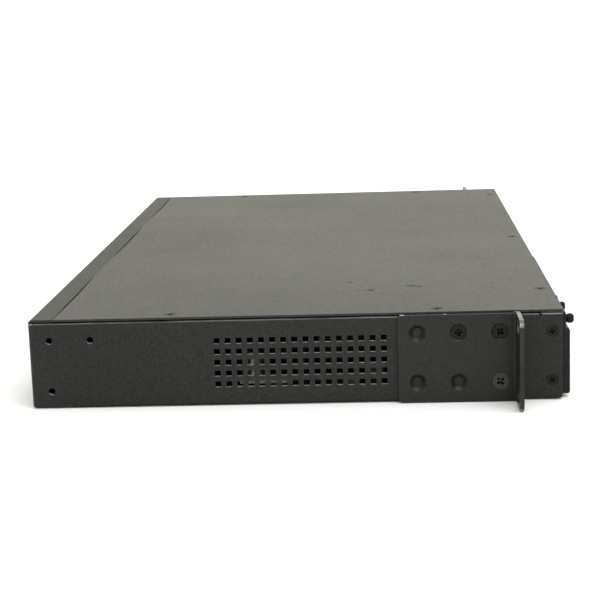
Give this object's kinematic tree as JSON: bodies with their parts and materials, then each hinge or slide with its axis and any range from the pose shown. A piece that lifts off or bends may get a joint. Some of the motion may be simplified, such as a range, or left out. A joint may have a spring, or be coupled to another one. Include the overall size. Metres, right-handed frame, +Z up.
{
  "type": "rack firewall appliance",
  "caption": "Flat rack-mount network firewall in a charcoal sheet-metal case with folded rack ears, side vents, slide-in modules, front ports, rear fans and a mains inlet.",
  "frame": {"origin": "centre of the bounding box's footprint, on the surface the case rests on", "axes": "+X across the rack from the left ear to the right ear as seen from the front, the front panel faces -Y, +Z up"},
  "size_m": [0.4826, 0.2628, 0.0437],
  "materials": {
    "chassis_coat": "fine-textured charcoal powder coat",
    "cover_coat": "fine-textured charcoal powder coat on the cover",
    "module_coat": "satin black paint on the slide-in modules",
    "black_screws": "black zinc, satin",
    "bare_screws": "bright zinc",
    "shield_steel": "nickel-plated spring steel",
    "bare_aluminium": "extruded, satin",
    "circuit_board": "solder mask over glass laminate",
    "supply_board": "bare phenolic laminate",
    "chip_package": "moulded epoxy",
    "black_plastic": "moulded, fine texture",
    "ivory_plastic": "moulded",
    "clear_plastic": "clear light guide",
    "cable_jacket": "satin cable jacket"
  },
  "bodies": {
    "chassis": {"base_tray": "chassis_coat", "top_cover": "cover_coat", "front_panel": "chassis_coat", "port_plate": "chassis_coat", "ear_left": "chassis_coat", "ear_right": "chassis_coat", "ear_screws": "black_screws", "cover_screws": "black_screws", "panel_screws": "black_screws", "main_board": "circuit_board", "board_standoffs": "bare_screws", "board_screws": "bare_screws", "processor": "chip_package", "cpu_heatsink": "bare_aluminium", "network_chip": "chip_package", "network_heatsink": "bare_aluminium", "memory_sockets": "black_plastic", "memory_modules": "circuit_board", "cell_holder": "black_plastic", "coin_cell": "bare_screws", "capacitors": "bare_aluminium", "inductors": "chip_package", "aux_header": "ivory_plastic", "port_block": "shield_steel", "management_ports": "shield_steel", "console_port": "shield_steel", "usb_ports": "shield_steel", "sfp_cages": "shield_steel", "light_pipes": "clear_plastic", "reset_switch": "black_plastic", "storage_rails": "chassis_coat", "module_rails": "chassis_coat", "bay_connectors": "black_plastic", "psu_case": "shield_steel", "psu_board": "supply_board", "psu_components": "chip_package", "wiring": "cable_jacket", "ac_inlet": "black_plastic", "rocker_housing": "black_plastic", "fan_frame_left": "black_plastic", "fan_frame_middle": "black_plastic", "fan_frame_right": "black_plastic", "fan_screws": "black_screws", "ground_screw": "bare_screws"},
    "storage": {"storage_tray": "module_coat", "storage_face": "module_coat", "storage_board": "circuit_board", "storage_drive": "chip_package"},
    "expansion": {"module_carrier": "module_coat", "module_board": "circuit_board", "module_cages": "shield_steel"},
    "storage_thumb_outer": {"storage_screw_outer": "black_screws"},
    "storage_thumb_inner": {"storage_screw_inner": "black_screws"},
    "expansion_thumb_upper": {"module_screw_upper": "black_screws"},
    "expansion_thumb_lower": {"module_screw_lower": "black_screws"},
    "fan_left": {"fan_rotor_left": "black_plastic"},
    "fan_middle": {"fan_rotor_middle": "black_plastic"},
    "fan_right": {"fan_rotor_right": "black_plastic"},
    "rocker": {"power_rocker": "black_plastic"},
    "reset": {"reset_button": "black_plastic"}
  },
  "joints": [
    {"name": "storage_slide", "type": "slide", "parent": "chassis", "child": "storage", "axis": [0, -1, 0], "range_m": [0, 0.09]},
    {"name": "expansion_slide", "type": "slide", "parent": "chassis", "child": "expansion", "axis": [0, -1, 0], "range_m": [0, 0.13]},
    {"name": "storage_thumb_outer_turn", "type": "hinge", "parent": "storage", "child": "storage_thumb_outer", "pos_m": [-0.2105, -0.1252, 0.0375], "axis": [0, -1, 0], "continuous": true},
    {"name": "storage_thumb_inner_turn", "type": "hinge", "parent": "storage", "child": "storage_thumb_inner", "pos_m": [-0.1825, -0.1252, 0.0375], "axis": [0, -1, 0], "continuous": true},
    {"name": "expansion_thumb_upper_turn", "type": "hinge", "parent": "expansion", "child": "expansion_thumb_upper", "pos_m": [-0.1655, -0.1252, 0.0375], "axis": [0, -1, 0], "continuous": true},
    {"name": "expansion_thumb_lower_turn", "type": "hinge", "parent": "expansion", "child": "expansion_thumb_lower", "pos_m": [-0.067, -0.1252, 0.006], "axis": [0, -1, 0], "continuous": true},
    {"name": "fan_left_spin", "type": "hinge", "parent": "chassis", "child": "fan_left", "pos_m": [-0.155, 0.1148, 0.0214], "axis": [0, 1, 0], "continuous": true},
    {"name": "fan_middle_spin", "type": "hinge", "parent": "chassis", "child": "fan_middle", "pos_m": [-0.055, 0.1148, 0.0214], "axis": [0, 1, 0], "continuous": true},
    {"name": "fan_right_spin", "type": "hinge", "parent": "chassis", "child": "fan_right", "pos_m": [0.045, 0.1148, 0.0214], "axis": [0, 1, 0], "continuous": true},
    {"name": "power_rock", "type": "hinge", "parent": "chassis", "child": "rocker", "pos_m": [0.154, 0.1268, 0.022], "axis": [-1, 0, 0], "range_deg": [0, 18]},
    {"name": "reset_press", "type": "slide", "parent": "chassis", "child": "reset", "axis": [0, 1, 0], "range_m": [0, 0.001], "stiffness_N_per_m": 400}
  ]
}
